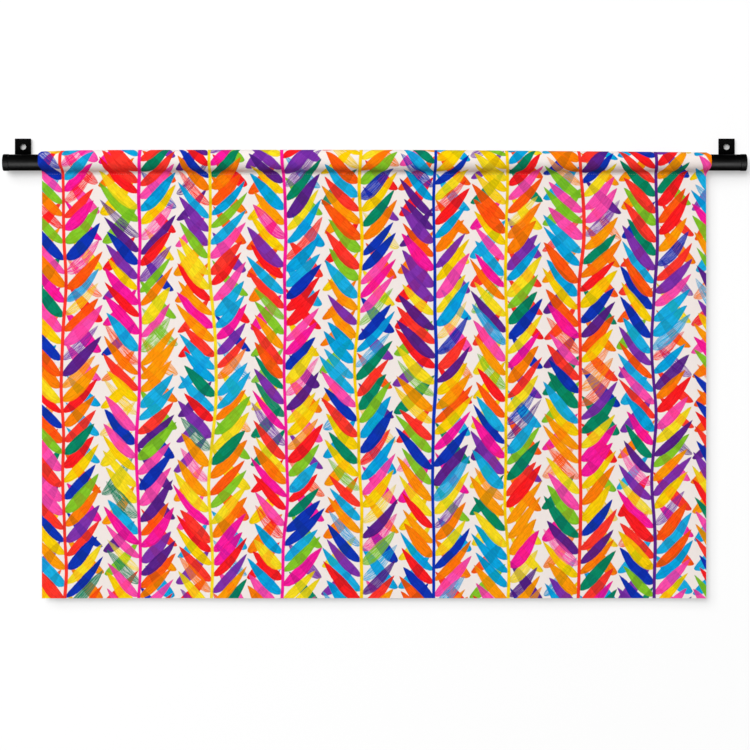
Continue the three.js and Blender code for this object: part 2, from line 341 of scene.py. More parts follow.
def cloth_mesh():
    shape = bmesh.new()
    flat_map = shape.loops.layers.uv.new("flat_cloth")
    printed, reverse, flat = [], [], []
    for column in range(CLOTH_COLUMNS + 1):
        across = column / CLOTH_COLUMNS
        edge = cloth_left + cloth_width * across
        points = route(across)
        along = 0
        printed.append([])
        reverse.append([])
        flat.append([])
        for number, (forward, up, in_forward, in_up) in enumerate(points):
            if number:
                along += math.dist(points[number - 1][:2], (forward, up))
            x = edge + end_shift(across, up)
            printed[-1].append(shape.verts.new(in_frame(x, forward, up)))
            inner = in_frame(x, forward + in_forward * SHEET_THICKNESS, up + in_up * SHEET_THICKNESS)
            reverse[-1].append(shape.verts.new(inner))
            flat[-1].append((cloth_width * across, along))
    last_row = len(printed[0]) - 1

    def face(corners, places, material):
        made = shape.faces.new(corners)
        made.material_index = material
        for loop, place in zip(made.loops, places):
            loop[flat_map].uv = place

    for c in range(CLOTH_COLUMNS):
        for r in range(last_row):
            places = [flat[c][r], flat[c + 1][r], flat[c + 1][r + 1], flat[c][r + 1]]
            face([printed[c][r], printed[c + 1][r], printed[c + 1][r + 1], printed[c][r + 1]], places, 0)
            places.reverse()
            face([reverse[c][r + 1], reverse[c + 1][r + 1], reverse[c + 1][r], reverse[c][r]], places, 1)
        for r, a, b in ((0, c, c + 1), (last_row, c + 1, c)):
            places = [flat[a][r], flat[a][r], flat[b][r], flat[b][r]]
            face([printed[a][r], reverse[a][r], reverse[b][r], printed[b][r]], places, 1)
    for c in (0, CLOTH_COLUMNS):
        for r in range(last_row):
            a, b = (r, r + 1) if c else (r + 1, r)
            places = [flat[c][a], flat[c][a], flat[c][b], flat[c][b]]
            face([printed[c][a], reverse[c][a], reverse[c][b], printed[c][b]], places, 1)
    return finished_mesh(shape, "tapestry_cloth")


cloth = new_piece("tapestry_cloth", cloth_mesh())
print("cloth sheet has", len(cloth.data.polygons), "faces")

# %% [markdown]
# ## Stitches along the seam
#
# The sleeve is closed by one row of lock stitches through the sewn edge. A stitch is a short length of thread
# that rises from one needle hole and dips into the next. Copies of one stitch along a line would do on a
# straight seam. Here each is placed from the cloth's own section, so that it follows the pulls, and hundreds
# of them make one joined mesh.

# %% Sew the seam
STITCH_PITCH = 3.2 * MM
STITCH_LENGTH = 2.5 * MM
THREAD_RADIUS = 0.09 * MM
STITCH_RISE = 0.08 * MM
# how far up the crease's turn the stitches lie, from the panel
STITCH_TURN = math.radians(20)
STITCH_RINGS = 6
STITCH_END = 0.35
THREAD_SIDES = 6


def stitch_rings(x, forward, up, side):
    """Rings of points of one stitch that arches out of the cloth, towards the front or the back."""
    rings = []
    for ring in range(STITCH_RINGS + 1):
        share = ring / STITCH_RINGS
        arch = math.sin(math.pi * share)
        radius = THREAD_RADIUS * (STITCH_END + (1 - STITCH_END) * math.sqrt(arch))
        out = forward + side * (STITCH_RISE * arch - THREAD_RADIUS / 2)
        centre_x = x + STITCH_LENGTH * (share - 0.5)
        turns = [2 * math.pi * corner / THREAD_SIDES for corner in range(THREAD_SIDES)]
        rings.append([(centre_x, out + radius * math.cos(t), up + radius * math.sin(t)) for t in turns])
    return rings


def seam_mesh():
    points, faces = [], []
    count = int(cloth_width / STITCH_PITCH)
    for number in range(count):
        across = (number + 0.5) / count
        x = cloth_left + cloth_width * across
        for side in (1, -1):
            forward, up, slope = neck_turn(across, side)
            forward -= side * NECK_RADIUS * math.cos(STITCH_TURN)
            up += NECK_RADIUS * math.sin(STITCH_TURN)
            if side > 0:
                forward += pull_depth(across, 0) * (1 - STITCH_TURN / slope)
            first = len(points)
            for ring in stitch_rings(x, forward, up, side):
                points.extend(in_frame(*place) for place in ring)
            for ring in range(STITCH_RINGS):
                for corner in range(THREAD_SIDES):
                    a = first + ring * THREAD_SIDES + corner
                    b = first + ring * THREAD_SIDES + (corner + 1) % THREAD_SIDES
                    faces.append((a, a + THREAD_SIDES, b + THREAD_SIDES, b))
            end = first + STITCH_RINGS * THREAD_SIDES
            faces.append(tuple(range(first, first + THREAD_SIDES)))
            faces.append(tuple(range(end + THREAD_SIDES - 1, end - 1, -1)))
    mesh = bpy.data.meshes.new("seam_stitches")
    mesh.from_pydata(points, [], faces)
    mesh.shade_smooth()
    return mesh


stitches = new_piece("seam_stitches", seam_mesh())
print("seam has", len(stitches.data.polygons), "faces")

# %% [markdown]
# ## Rod and end caps
#
# The rod is a painted tube and each cap is a moulded plug. A bevelled cylinder would do for the rod, but not
# for a cap with its plug, lip and dish. So both are turned shapes: a short profile of radius and place along
# the rod, spun about the rod's axis. Rounded corners are arcs in the profile, because a crisp black edge only
# shows where it catches a line of light.

# %% Turn the rod and the caps
TURN_STEPS = 96
ROD_WALL = 1.5 * MM
ROD_END_ROUND = 0.4 * MM
CAP_CORNER = 1.2 * MM
CAP_LIP = 0.35 * MM
CAP_DISH = 0.5 * MM
CAP_DISH_RADIUS = 6.5 * MM
PLUG_CHAMFER = 1 * MM
SEAT_GAP = 0.3 * MM
ARC_STEPS = 6
SAME_PLACE = MM / 1000


def arc(centre_radius, centre_along, radius, start, end):
    """Points of a rounded corner of a profile; angles in degrees, 0 away from the axis."""
    points = []
    for step in range(ARC_STEPS + 1):
        angle = math.radians(start + (end - start) * step / ARC_STEPS)
        points.append((centre_radius + radius * math.cos(angle), centre_along + radius * math.sin(angle)))
    return points


def turned_mesh(name, profile, facing=1, closed=False):
    """Spin a profile of (radius, place along the rod) about the rod's axis."""
    shape = bmesh.new()
    steps = [2 * math.pi * step / TURN_STEPS for step in range(TURN_STEPS)]
    rings = []
    for radius, along in profile:
        if radius < SAME_PLACE:
            rings.append([shape.verts.new(in_frame(facing * along, 0, 0))] * TURN_STEPS)
        else:
            places = [in_frame(facing * along, radius * math.cos(t), radius * math.sin(t)) for t in steps]
            rings.append([shape.verts.new(place) for place in places])
    pairs = list(zip(rings, rings[1:]))
    if closed:
        pairs.append((rings[-1], rings[0]))
    for lower, upper in pairs:
        for step in range(TURN_STEPS):
            after = (step + 1) % TURN_STEPS
            corners = [lower[step], lower[after], upper[after], upper[step]]
            shape.faces.new(list(dict.fromkeys(corners)))
    bmesh.ops.recalc_face_normals(shape, faces=shape.faces)
    return finished_mesh(shape, name)


def rod_profile():
    half = (rod_high.x - rod_low.x) / 2
    round_end = rod_radius - ROD_END_ROUND, half - ROD_END_ROUND
    bore = rod_radius - ROD_WALL
    upper = arc(*round_end, ROD_END_ROUND, 0, 90)
    lower = [(radius, -along) for radius, along in reversed(upper)]
    return [(bore, -half), *lower, *upper, (bore, half)]


def cap_profile():
    low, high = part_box("cap_right")
    head_radius = (high.z - low.z) / 2
    head = rod_high.x + SEAT_GAP
    plug = rod_radius - ROD_WALL - SEAT_GAP
    chamfer = [(plug - PLUG_CHAMFER, low.x), (plug, low.x + PLUG_CHAMFER)]
    corner = arc(head_radius - CAP_CORNER, high.x - CAP_CORNER, CAP_CORNER, 0, 90)
    lip = arc(head_radius - CAP_LIP, head + CAP_LIP, CAP_LIP, -90, 0)
    floor_of_dish = high.x - CAP_DISH
    dish = [(CAP_DISH_RADIUS, high.x), (CAP_DISH_RADIUS - CAP_DISH, floor_of_dish), (0, floor_of_dish)]
    return [(0, low.x), *chamfer, (plug, head), *lip, *corner, *dish]


rod = new_piece("hanging_rod", turned_mesh("hanging_rod", rod_profile(), closed=True))
caps = {}
for side, facing in (("left", -1), ("right", 1)):
    caps[side] = new_piece(f"rod_cap_{side}", turned_mesh(f"rod_cap_{side}", cap_profile(), facing))
print("rod and caps have", sum(len(p.data.polygons) for p in (rod, *caps.values())), "faces")

# %% [markdown]
# ## Wall hangers
#
# Each hanger is a punched plate against the wall with a saddle that seats the back of the rod.
# A flat curve with a hole, filled, thickened and bevelled, gives a plate with softened edges in one step.
# The saddle is made in the same way from its side view, and a boolean joins the two into one solid.

# %% Make the hangers
PLATE_THICKNESS = 2 * MM
PLATE_CORNER = 0.8 * MM
HOLE_RADIUS = 4.25 * MM
HOLE_STEPS = 48
PLATE_BEVEL = 0.25 * MM
PLATE_BELOW_ROD = 6 * MM
SADDLE_LENGTH = 18 * MM
SADDLE_TOP = 13 * MM
SADDLE_ROOT = 0.6 * MM
SADDLE_ANGLES = -45, 60
BEVEL_STEPS = 2
HANGER_SHARP_EDGE = math.radians(50)


def reworked(mesh, work):
    """Do some work on a mesh that is there already."""
    shape = bmesh.new()
    shape.from_mesh(mesh)
    work(shape)
    shape.to_mesh(mesh)
    shape.free()


def face_outwards(shape):
    bmesh.ops.recalc_face_normals(shape, faces=shape.faces)


def close_up(shape):
    bmesh.ops.remove_doubles(shape, verts=shape.verts, dist=SAME_PLACE)
    face_outwards(shape)


def bevelled_slab(name, outlines, depth):
    """A flat slab of the outlines, holes among them, centred on its depth, with softened edges."""
    curve = bpy.data.curves.new(name, "CURVE")
    curve.dimensions = "2D"
    curve.fill_mode = "BOTH"
    curve.extrude = depth / 2 - PLATE_BEVEL
    curve.bevel_depth = PLATE_BEVEL
    curve.bevel_resolution = BEVEL_STEPS
    curve.offset = -PLATE_BEVEL
    for outline in outlines:
        spline = curve.splines.new("POLY")
        spline.points.add(len(outline) - 1)
        for point, (a, b) in zip(spline.points, outline):
            point.co = (a, b, 0, 1)
        spline.use_cyclic_u = True
    holder = bpy.data.objects.new(name, curve)
    bpy.context.collection.objects.link(holder)
    bpy.context.view_layer.update()
    mesh = bpy.data.meshes.new_from_object(holder.evaluated_get(bpy.context.evaluated_depsgraph_get()))
    bpy.data.objects.remove(holder)
    reworked(mesh, close_up)
    return mesh


def plate_outlines(width, top):
    side = width / 2
    inset = PLATE_CORNER
    right = arc(side - inset, top - inset, inset, 0, 90)
    left = arc(inset - side, top - inset, inset, 90, 180)
    outer = [(-side, -PLATE_BELOW_ROD), (side, -PLATE_BELOW_ROD), *right, *left]
    steps = [-2 * math.pi * step / HOLE_STEPS for step in range(HOLE_STEPS)]
    hole = [(HOLE_RADIUS * math.cos(t), -rod_axis.z + HOLE_RADIUS * math.sin(t)) for t in steps]
    return [outer, hole]


def saddle_outline():
    seat = rod_radius + SEAT_GAP
    root = -rod_axis.y - PLATE_THICKNESS + SADDLE_ROOT
    curved = arc(0, 0, seat, *SADDLE_ANGLES)
    return [[(root, SADDLE_TOP), (root, -PLATE_BELOW_ROD), *curved]]


def put(mesh, place):
    """Move every point of a slab to its place on the hanger."""
    for vertex in mesh.vertices:
        vertex.co = place(vertex.co)
    mesh.update()
    reworked(mesh, face_outwards)


def hanger_mesh(node, name):
    low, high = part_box(node)
    middle = (low.x + high.x) / 2
    width = high.x - low.x
    plate = bevelled_slab("plate", plate_outlines(width, high.z - rod_axis.z), PLATE_THICKNESS)
    put(plate, lambda p: in_frame(middle + p.x, rod_axis.y + PLATE_THICKNESS / 2 + p.z, p.y))
    saddle = bevelled_slab("saddle", saddle_outline(), SADDLE_LENGTH)
    put(saddle, lambda p: in_frame(middle + p.z, -p.x, p.y))
    base = bpy.data.objects.new("hanger_base", plate)
    tool = bpy.data.objects.new("hanger_tool", saddle)
    for holder in (base, tool):
        bpy.context.collection.objects.link(holder)
    join = base.modifiers.new("join", "BOOLEAN")
    join.operation = "UNION"
    join.solver = "EXACT"
    join.object = tool
    bpy.context.view_layer.update()
    joined = bpy.data.meshes.new_from_object(base.evaluated_get(bpy.context.evaluated_depsgraph_get()))
    for holder in (base, tool):
        bpy.data.objects.remove(holder)
    reworked(joined, lambda shape: smooth_with_sharp_edges(shape, HANGER_SHARP_EDGE))
    joined.name = name
    return joined


hangers = {}
for side in ("left", "right"):
    name = f"wall_hanger_{side}"
    hangers[side] = new_piece(name, hanger_mesh(f"hanger_{side}", name))
print("hangers have", sum(len(p.data.polygons) for p in hangers.values()), "faces")

# %% [markdown]
# ## Helpers for node groups
#
# The finishes are drawn with nodes. Small helpers keep the recipes short: one sets or links a socket, some
# make a common node and hand back its result, and two start a group with named inputs and outputs and put it
# to use, so that materials can share it.


# %% Node helpers
def feed(tree, socket, value):
    if isinstance(value, bpy.types.NodeSocket):
        tree.links.new(value, socket)
    else:
        socket.default_value = value


def calc(tree, operation, *values):
    node = tree.nodes.new("ShaderNodeMath")
    node.operation = operation
    for socket, value in zip(node.inputs, values):
        feed(tree, socket, value)
    return node.outputs[0]


def ramp_between(tree, value, low, high, to_low=0.0, to_high=1.0, smooth=True):
    node = tree.nodes.new("ShaderNodeMapRange")
    node.interpolation_type = "SMOOTHSTEP" if smooth else "LINEAR"
    labels = "Value", "From Min", "From Max", "To Min", "To Max"
    for label, given in zip(labels, (value, low, high, to_low, to_high)):
        feed(tree, node.inputs[label], given)
    return node.outputs["Result"]


def vector_of(tree, x, y, z):
    node = tree.nodes.new("ShaderNodeCombineXYZ")
    for socket, value in zip(node.inputs, (x, y, z)):
        feed(tree, socket, value)
    return node.outputs[0]


def noise(tree, place, scale, detail=2.0, roughness=0.5):
    node = tree.nodes.new("ShaderNodeTexNoise")
    for label, value in (("Vector", place), ("Scale", scale), ("Detail", detail), ("Roughness", roughness)):
        feed(tree, node.inputs[label], value)
    return node.outputs["Fac"]


# a Mix node has sockets for every type of value; these are the ones for colours
FIRST_COLOUR, SECOND_COLOUR, MIXED_COLOUR = 6, 7, 2


def blend_colours(tree, share, first, second, kind="MIX"):
    node = tree.nodes.new("ShaderNodeMix")
    node.data_type = "RGBA"
    node.blend_type = kind
    feed(tree, node.inputs["Factor"], share)
    feed(tree, node.inputs[FIRST_COLOUR], first)
    feed(tree, node.inputs[SECOND_COLOUR], second)
    return node.outputs[MIXED_COLOUR]


def start_group(name, inputs, outputs):
    """A new shader node group; inputs and outputs give a socket type for each name."""
    tree = bpy.data.node_groups.new(name, "ShaderNodeTree")
    for label, kind in inputs.items():
        tree.interface.new_socket(label, in_out="INPUT", socket_type=kind)
    for label, kind in outputs.items():
        tree.interface.new_socket(label, in_out="OUTPUT", socket_type=kind)
    entry = tree.nodes.new("NodeGroupInput").outputs
    leave = tree.nodes.new("NodeGroupOutput").inputs
    return tree, entry, leave


def use_group(tree, group, values):
    node = tree.nodes.new("ShaderNodeGroup")
    node.node_tree = group
    for label, value in values.items():
        feed(tree, node.inputs[label], value)
    return node.outputs


NUMBER, COLOUR, VECTOR = "NodeSocketFloat", "NodeSocketColor", "NodeSocketVector"
print("node helpers are ready")

# %% [markdown]
# ## A leaf print
#
# The cloth carries a plain repeat of leafy sprigs in felt-tip colours: upright stems side by side, with
# slender leaves that leave the stem on both sides and curve upward. Hundreds of leaves as meshes would be
# slow to make; here one group finds, for any spot on the flat cloth, the nearest leaf of a layer and where on
# it the spot is. Several layers, a part of a step from each other, let neighbouring leaves overlap.

# %% Group: one layer of leaves
STEM_SPACING = 100 * MM
PRINT_SHIFT = 5 * MM
LEAF_RISE = 38 * MM
LEAF_REACH = 49 * MM
LEAF_WIDTH = 16.5 * MM
LEAF_START_SLOPE = 0.55
LEAF_END_SLOPE = 1.55
LEAF_JITTER = 5 * MM
HAND_WOBBLE = 1.6 * MM
WOBBLE_SCALE = 28.0
RAGGED_EDGE = 1.2 * MM
RAGGED_SCALE = 320.0
INK_EDGE = 0.4 * MM

# a leaf's reach and half width are drawn between two shares of the sizes above
REACH_SHARES = 0.86, 1.04
HALF_WIDTH_SHARES = 0.4, 0.58

# below one, these make a leaf widest nearer its base and fuller than a plain arch
WIDEST_NEAR_BASE = 0.78
BELLY_FULLNESS = 0.75

# makes a second chance number out of the first
SECOND_DRAW = 13.7


def leaf_layer_group():
    tree, entry, leave = start_group(
        "Leaf layer",
        {"Flat": VECTOR, "Aside": NUMBER, "Start": NUMBER, "Layer": NUMBER},
        {"Mask": NUMBER, "Along": NUMBER, "Across": NUMBER, "Ink Number": NUMBER, "Dryness": NUMBER},
    )
    split = tree.nodes.new("ShaderNodeSeparateXYZ")
    feed(tree, split.inputs[0], entry["Flat"])
    shifted = calc(tree, "ADD", split.outputs["X"], entry["Aside"])
    stem = calc(tree, "FLOOR", calc(tree, "DIVIDE", shifted, STEM_SPACING))
    stem_place = calc(tree, "MULTIPLY", calc(tree, "ADD", stem, 0.5), STEM_SPACING)
    inside = calc(tree, "SUBTRACT", shifted, stem_place)
    out = calc(tree, "ABSOLUTE", inside)
    branch = calc(tree, "MULTIPLY_ADD", stem, 2, calc(tree, "MULTIPLY", calc(tree, "SIGN", inside), 0.5))
    shift = tree.nodes.new("ShaderNodeTexWhiteNoise")
    shift.noise_dimensions = "1D"
    feed(tree, shift.inputs["W"], branch)

    curve = (LEAF_END_SLOPE - LEAF_START_SLOPE) / (2 * LEAF_REACH)
    slope = calc(tree, "MULTIPLY_ADD", out, 2 * curve, LEAF_START_SLOPE)
    rise = calc(tree, "MULTIPLY", out, calc(tree, "MULTIPLY_ADD", out, curve, LEAF_START_SLOPE))
    height = calc(tree, "SUBTRACT", split.outputs["Y"], rise)
    height = calc(tree, "SUBTRACT", height, calc(tree, "MULTIPLY", shift.outputs["Value"], LEAF_RISE))
    height = calc(tree, "SUBTRACT", height, entry["Start"])
    step = calc(tree, "ROUND", calc(tree, "DIVIDE", height, LEAF_RISE))
    local = calc(tree, "MULTIPLY_ADD", step, -LEAF_RISE, height)

    chance = tree.nodes.new("ShaderNodeTexWhiteNoise")
    feed(tree, chance.inputs["Vector"], vector_of(tree, branch, step, entry["Layer"]))
    draws = tree.nodes.new("ShaderNodeSeparateColor")
    feed(tree, draws.inputs[0], chance.outputs["Color"])
    wobble = calc(tree, "SUBTRACT", noise(tree, entry["Flat"], WOBBLE_SCALE), 0.5)
    local = calc(tree, "MULTIPLY_ADD", calc(tree, "SUBTRACT", draws.outputs[0], 0.5), LEAF_JITTER, local)
    local = calc(tree, "MULTIPLY_ADD", wobble, 2 * HAND_WOBBLE, local)
    ragged = calc(tree, "SUBTRACT", noise(tree, entry["Flat"], RAGGED_SCALE), 0.5)
    local = calc(tree, "MULTIPLY_ADD", ragged, RAGGED_EDGE, local)

    shortest, longest = (share * LEAF_REACH for share in REACH_SHARES)
    reach = ramp_between(tree, draws.outputs[1], 0, 1, shortest, longest, smooth=False)
    along = calc(tree, "DIVIDE", out, reach)
    square = calc(tree, "MULTIPLY_ADD", slope, slope, 1)
    aside = calc(tree, "MULTIPLY", local, calc(tree, "INVERSE_SQRT", square))
    belly = calc(tree, "SINE", calc(tree, "MULTIPLY", calc(tree, "POWER", along, WIDEST_NEAR_BASE), math.pi))
    belly = calc(tree, "POWER", calc(tree, "MAXIMUM", belly, 0), BELLY_FULLNESS)
    plump = calc(tree, "FRACT", calc(tree, "MULTIPLY", draws.outputs[0], SECOND_DRAW))
    slimmest, widest = (share * LEAF_WIDTH for share in HALF_WIDTH_SHARES)
    plump = ramp_between(tree, plump, 0, 1, slimmest, widest, smooth=False)
    half = calc(tree, "MULTIPLY", belly, plump)
    within = calc(tree, "SUBTRACT", half, calc(tree, "ABSOLUTE", aside))
    feed(tree, leave["Mask"], ramp_between(tree, within, 0, 2 * INK_EDGE))
    feed(tree, leave["Along"], along)
    feed(tree, leave["Across"], calc(tree, "DIVIDE", aside, calc(tree, "MAXIMUM", half, INK_EDGE)))
    feed(tree, leave["Ink Number"], chance.outputs["Value"])
    feed(tree, leave["Dryness"], draws.outputs[2])
    return tree


leaf_layer = leaf_layer_group()
print("leaf layer group has", len(leaf_layer.nodes), "nodes")

# %% [markdown]
# ## Felt-tip ink
#
# Ink from a felt tip isn't even: the pen leaves streaks along its stroke, ink pools at the rim of the shape,
# and a drying pen leaves pale scratches. One group turns the place on a leaf into a colour and its cover.

# %% Group: felt-tip ink
INKS = [
    {"name": "red", "srgb": (252, 28, 34)},
    {"name": "orange", "srgb": (255, 130, 0)},
    {"name": "yellow", "srgb": (252, 212, 0)},
    {"name": "lime", "srgb": (134, 202, 40)},
    {"name": "sky blue", "srgb": (0, 166, 226)},
    {"name": "magenta", "srgb": (250, 24, 160)},
    {"name": "emerald", "srgb": (0, 138, 102)},
    {"name": "amber", "srgb": (255, 158, 0)},
    {"name": "royal blue", "srgb": (8, 52, 184)},
    {"name": "pink", "srgb": (255, 78, 176)},
    {"name": "lemon", "srgb": (250, 224, 30)},
    {"name": "violet", "srgb": (128, 50, 174)},
    {"name": "tangerine", "srgb": (255, 92, 10)},
    {"name": "light blue", "srgb": (20, 176, 230)},
    {"name": "warm red", "srgb": (255, 56, 44)},
    {"name": "deep purple", "srgb": (92, 34, 142)},
]
CLOTH_GROUND = (241, 231, 226)
PEN_PASSES = 3
STROKES_APART = 40
STREAK_STRETCH = 2.2
STREAK_SCALE = 4.5
MIDDLE_OF_NOISE = 0.3, 0.7
PASS_LINE_POWER = 14
RIM_POWER = 5
TIP_POWER = 7
BASE_POWER = 9
RIM_POOL = 0.6

# the ink's tone, and what a streak, a line between two passes and a pool of ink add to it
INK_TONE = 0.9
STREAK_TONE = 0.24
PASS_LINE_TONE = -0.09
POOL_TONE = -0.26

# which pens are drying, and the pale scratches that they leave
DRY_PENS = 0.86, 0.95
SCRATCH_STRETCH = 1.2, 3
SCRATCH_SCALE = 3.0
SCRATCH_RANGE = 0.42, 0.62
SCRATCH_DEPTH = 0.75


def linear(srgb):
    """A colour with alpha for a socket, from red, green and blue out of 255."""
    parts = [c / 255 for c in srgb]
    parts = [c / 12.92 if c <= 0.04045 else ((c + 0.055) / 1.055) ** 2.4 for c in parts]
    return (*parts, 1.0)


def ink_ramp(tree, number):
    node = tree.nodes.new("ShaderNodeValToRGB")
    stops = node.color_ramp
    stops.interpolation = "CONSTANT"
    for place, ink in enumerate(INKS):
        stop = stops.elements[0] if place == 0 else stops.elements.new(place / len(INKS))
        stop.color = linear(ink["srgb"])
    stops.elements.remove(stops.elements[-1])
    feed(tree, node.inputs[0], number)
    return node.outputs["Color"]


def felt_ink_group():
    tree, entry, leave = start_group(
        "Felt-tip ink",
        {"Mask": NUMBER, "Along": NUMBER, "Across": NUMBER, "Ink Number": NUMBER, "Dryness": NUMBER},
        {"Colour": COLOUR, "Cover": NUMBER},
    )
    apart = calc(tree, "MULTIPLY", entry["Dryness"], STROKES_APART)
    stroke = vector_of(tree, calc(tree, "MULTIPLY", entry["Along"], STREAK_STRETCH), entry["Across"], apart)
    streak = noise(tree, stroke, STREAK_SCALE, detail=3.0)
    streak = ramp_between(tree, streak, *MIDDLE_OF_NOISE, smooth=False)
    turn = calc(tree, "MULTIPLY_ADD", entry["Across"], PEN_PASSES * math.pi / 2, apart)
    pass_line = calc(tree, "POWER", calc(tree, "ABSOLUTE", calc(tree, "SINE", turn)), PASS_LINE_POWER)
    rim = calc(tree, "POWER", calc(tree, "MINIMUM", calc(tree, "ABSOLUTE", entry["Across"]), 1), RIM_POWER)
    along = calc(tree, "MINIMUM", entry["Along"], 1)
    tip = calc(tree, "POWER", along, TIP_POWER)
    base = calc(tree, "POWER", calc(tree, "SUBTRACT", 1, along), BASE_POWER)
    pool = calc(tree, "MAXIMUM", calc(tree, "MULTIPLY", rim, RIM_POOL), calc(tree, "MAXIMUM", tip, base))
    strength = calc(tree, "MULTIPLY_ADD", streak, STREAK_TONE, INK_TONE)
    strength = calc(tree, "MULTIPLY_ADD", pass_line, PASS_LINE_TONE, strength)
    strength = calc(tree, "MULTIPLY_ADD", pool, POOL_TONE, strength)
    plain = ink_ramp(tree, entry["Ink Number"])
    shade = vector_of(tree, strength, strength, strength)
    feed(tree, leave["Colour"], blend_colours(tree, 1.0, plain, shade, "MULTIPLY"))

    places = zip((entry["Along"], entry["Across"]), SCRATCH_STRETCH)
    lengthwise, crosswise = (calc(tree, "MULTIPLY", place, stretch) for place, stretch in places)
    fine = vector_of(tree, lengthwise, crosswise, apart)
    scratch = noise(tree, fine, SCRATCH_SCALE, detail=4.0, roughness=0.7)
    scratch = ramp_between(tree, scratch, *SCRATCH_RANGE)
    dry = ramp_between(tree, entry["Dryness"], *DRY_PENS)
    gap = calc(tree, "MULTIPLY", dry, calc(tree, "MULTIPLY", scratch, SCRATCH_DEPTH))
    feed(tree, leave["Cover"], calc(tree, "MULTIPLY", entry["Mask"], calc(tree, "SUBTRACT", 1.0, gap)))
    return tree


felt_ink = felt_ink_group()
print("ink group uses", len(INKS), "inks")

# %% [markdown]
# ## The whole print
#
# The print puts three leaf layers and a stem on the pale ground. The first layer belongs to stems half a
# step aside and fills the gaps between the sprigs. Where a leaf crosses one of a lower layer, the lower ink
# shows through and the crossing is darker. A slow drift of the drawing keeps the rows from looking ruled.

# %% Group: the print
STEM_HALF_WIDTH = 2.2 * MM
STEM_STROKES_PER_METRE = 9
STEM_DRAW = 7.3
STEM_DRYNESS = 0.5
DRAWING_DRIFT = 30 * MM
DRIFT_SCALE = 5.0
INK_SHOWS_THROUGH = 0.32
LEAF_LAYERS = [
    {"layer": 1.0, "aside": PRINT_SHIFT + STEM_SPACING / 2, "start": LEAF_RISE / 3},
    {"layer": 2.0, "aside": PRINT_SHIFT, "start": 0.0},
    {"layer": 3.0, "aside": PRINT_SHIFT, "start": LEAF_RISE / 2},
]


def drifted(tree, flat):
    """The flat place moved a little, slowly from spot to spot, as a drawn line strays."""
    stray = tree.nodes.new("ShaderNodeTexNoise")
    feed(tree, stray.inputs["Vector"], flat)
    feed(tree, stray.inputs["Scale"], DRIFT_SCALE)
    feed(tree, stray.inputs["Detail"], 1.0)
    moved = tree.nodes.new("ShaderNodeVectorMath")
    moved.operation = "MULTIPLY_ADD"
    for socket, value in zip(moved.inputs, (stray.outputs["Color"], (DRAWING_DRIFT, DRAWING_DRIFT, 0), flat)):
        feed(tree, socket, value)
    return moved.outputs[0]


def inked(tree, ground, ink):
    """A stroke of ink on what is drawn already, which shows through it a little."""
    wet = blend_colours(tree, INK_SHOWS_THROUGH, ink["Colour"], ground, "MULTIPLY")
    return blend_colours(tree, ink["Cover"], ground, wet)


def stem_drawing(tree, flat):
    """Inputs of the ink group for the nearest stem."""
    split = tree.nodes.new("ShaderNodeSeparateXYZ")
    feed(tree, split.inputs[0], flat)
    place = calc(tree, "ADD", split.outputs["X"], PRINT_SHIFT)
    stem = calc(tree, "FLOOR", calc(tree, "DIVIDE", place, STEM_SPACING))
    aside = calc(tree, "SUBTRACT", calc(tree, "MULTIPLY_ADD", stem, STEM_SPACING, STEM_SPACING / 2), place)
    within = calc(tree, "SUBTRACT", STEM_HALF_WIDTH, calc(tree, "ABSOLUTE", aside))
    draw = tree.nodes.new("ShaderNodeTexWhiteNoise")
    draw.noise_dimensions = "1D"
    feed(tree, draw.inputs["W"], calc(tree, "ADD", stem, STEM_DRAW))
    return {
        "Mask": ramp_between(tree, within, -INK_EDGE, INK_EDGE),
        "Along": calc(tree, "FRACT", calc(tree, "MULTIPLY", split.outputs["Y"], STEM_STROKES_PER_METRE)),
        "Across": calc(tree, "DIVIDE", aside, STEM_HALF_WIDTH),
        "Ink Number": draw.outputs["Value"],
        "Dryness": STEM_DRYNESS,
    }


def leaf_print_group():
    tree, entry, leave = start_group("Leaf print", {"Flat": VECTOR}, {"Colour": COLOUR, "Ink": NUMBER})
    flat = drifted(tree, entry["Flat"])
    colour = linear(CLOTH_GROUND)
    under = 0.0
    for row in LEAF_LAYERS:
        values = {"Flat": flat, "Aside": row["aside"], "Start": row["start"], "Layer": row["layer"]}
        found = use_group(tree, leaf_layer, values)
        ink = use_group(tree, felt_ink, {socket.name: socket for socket in found})
        colour = inked(tree, colour, ink)
        under = calc(tree, "MAXIMUM", under, ink["Cover"])
    stem = use_group(tree, felt_ink, stem_drawing(tree, flat))
    feed(tree, leave["Colour"], inked(tree, colour, stem))
    feed(tree, leave["Ink"], calc(tree, "MAXIMUM", under, stem["Cover"]))
    return tree


leaf_print = leaf_print_group()
print("print group has", len(leaf_print.nodes), "nodes")

# %% [markdown]
# ## Weave
#
# The cloth is a plain weave of fine polyester threads, each passing over and under its neighbours. Threads
# this fine would be far too many as meshes, so two crossed waves give their height and long drawn noise makes
# some threads thicker. Both faces show the weave, so it is a group: a height for the bump and a tone with
# painted shade, darker where the weave lies low, in the gaps between threads.

# %% Group: plain weave
THREAD_PITCH = 0.9 * MM
THREAD_STRETCH = 0.04
THREAD_SCALE = 900.0
UNEVEN_HEIGHT = 0.8
CROSS_SLICE = 3.0

# the cloth's tone, the painted shade of the weave in the gaps between threads, and what its uneven threads
# add
CLOTH_TONE = 0.95
WEAVE_GAP_SHADE = 0.02
UNEVEN_TONE = 0.03


